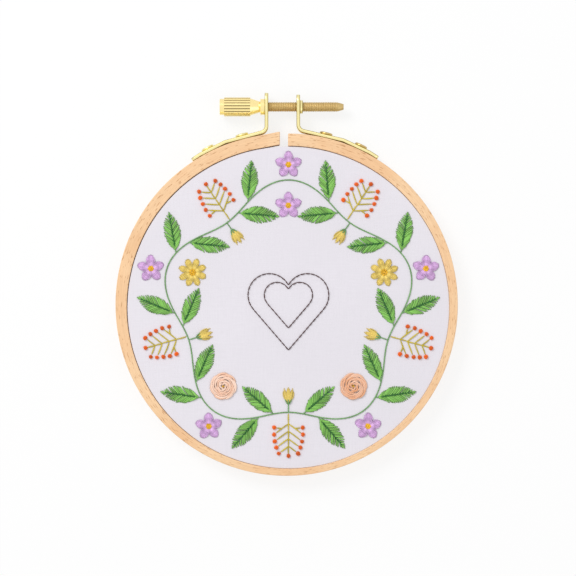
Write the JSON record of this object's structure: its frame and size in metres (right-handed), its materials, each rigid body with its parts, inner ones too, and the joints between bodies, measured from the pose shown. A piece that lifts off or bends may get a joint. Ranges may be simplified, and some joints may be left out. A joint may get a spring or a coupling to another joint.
{
  "type": "embroidery hoop",
  "caption": "Round wooden embroidery hoop with a brass screw clamp, holding a stretched cloth embroidered with a wavy floral wreath round a heart.",
  "frame": {"origin": "centre of the outer ring, on the plane of the two rings' back rims", "axes": "+Z out of the front of the work, +Y from the ring's centre to the screw, +X to the right as the front is looked at"},
  "size_m": [0.137, 0.1535, 0.0085],
  "materials": {
    "beech": "sanded, unvarnished beech with small darker flecks",
    "cotton": "plain white cotton, tightly woven",
    "strip_brass": "pale stamped brass",
    "knob_brass": "bright turned brass",
    "rod_brass": "rolled thread, darker brass",
    "green_thread": "stranded cotton, slight sheen",
    "dark_green_thread": "stranded cotton, slight sheen",
    "lilac_thread": "stranded cotton, slight sheen",
    "yellow_thread": "stranded cotton, slight sheen",
    "peach_thread": "stranded cotton, slight sheen",
    "olive_thread": "stranded cotton, slight sheen",
    "orange_thread": "stranded cotton, slight sheen",
    "amber_thread": "stranded cotton, slight sheen",
    "brown_thread": "stranded cotton, slight sheen"
  },
  "bodies": {
    "left_half": {"outer_ring_left": "beech", "left_bracket": "strip_brass", "left_rivets": "strip_brass"},
    "right_half": {"outer_ring_right": "beech", "right_bracket": "strip_brass", "right_rivets": "strip_brass"},
    "screw": {"thumb_knob": "knob_brass", "threaded_rod": "rod_brass"},
    "inner_frame": {"inner_ring": "beech", "cloth_front": "cotton", "cloth_edge": "cotton", "leaf_stitches": "green_thread", "leaf_veins": "dark_green_thread", "vine_stitches": "green_thread", "lilac_petals": "lilac_thread", "daisy_petals": "yellow_thread", "yellow_buds": "yellow_thread", "wheel_blossoms": "peach_thread", "sprig_stems": "olive_thread", "berry_knots": "orange_thread", "blossom_hearts": "amber_thread", "heart_outlines": "brown_thread"}
  },
  "joints": [
    {"name": "ring_flex", "type": "hinge", "parent": "left_half", "child": "right_half", "pos_m": [0.0087, -0.06795, 0.004], "axis": [0, 0, -1], "range_deg": [0, 2.72]},
    {"name": "screw_turn", "type": "hinge", "parent": "left_half", "child": "screw", "pos_m": [0, 0.0794, 0.004], "axis": [-1, 0, 0], "range_deg": [0, 3600]},
    {"name": "inner_lift", "type": "slide", "parent": "left_half", "child": "inner_frame", "axis": [0, 0, 1], "range_m": [0, 0.012]}
  ],
  "couplings": [
    {"joint": "screw_turn", "follows": "ring_flex", "ratio": 1322.7}
  ]
}
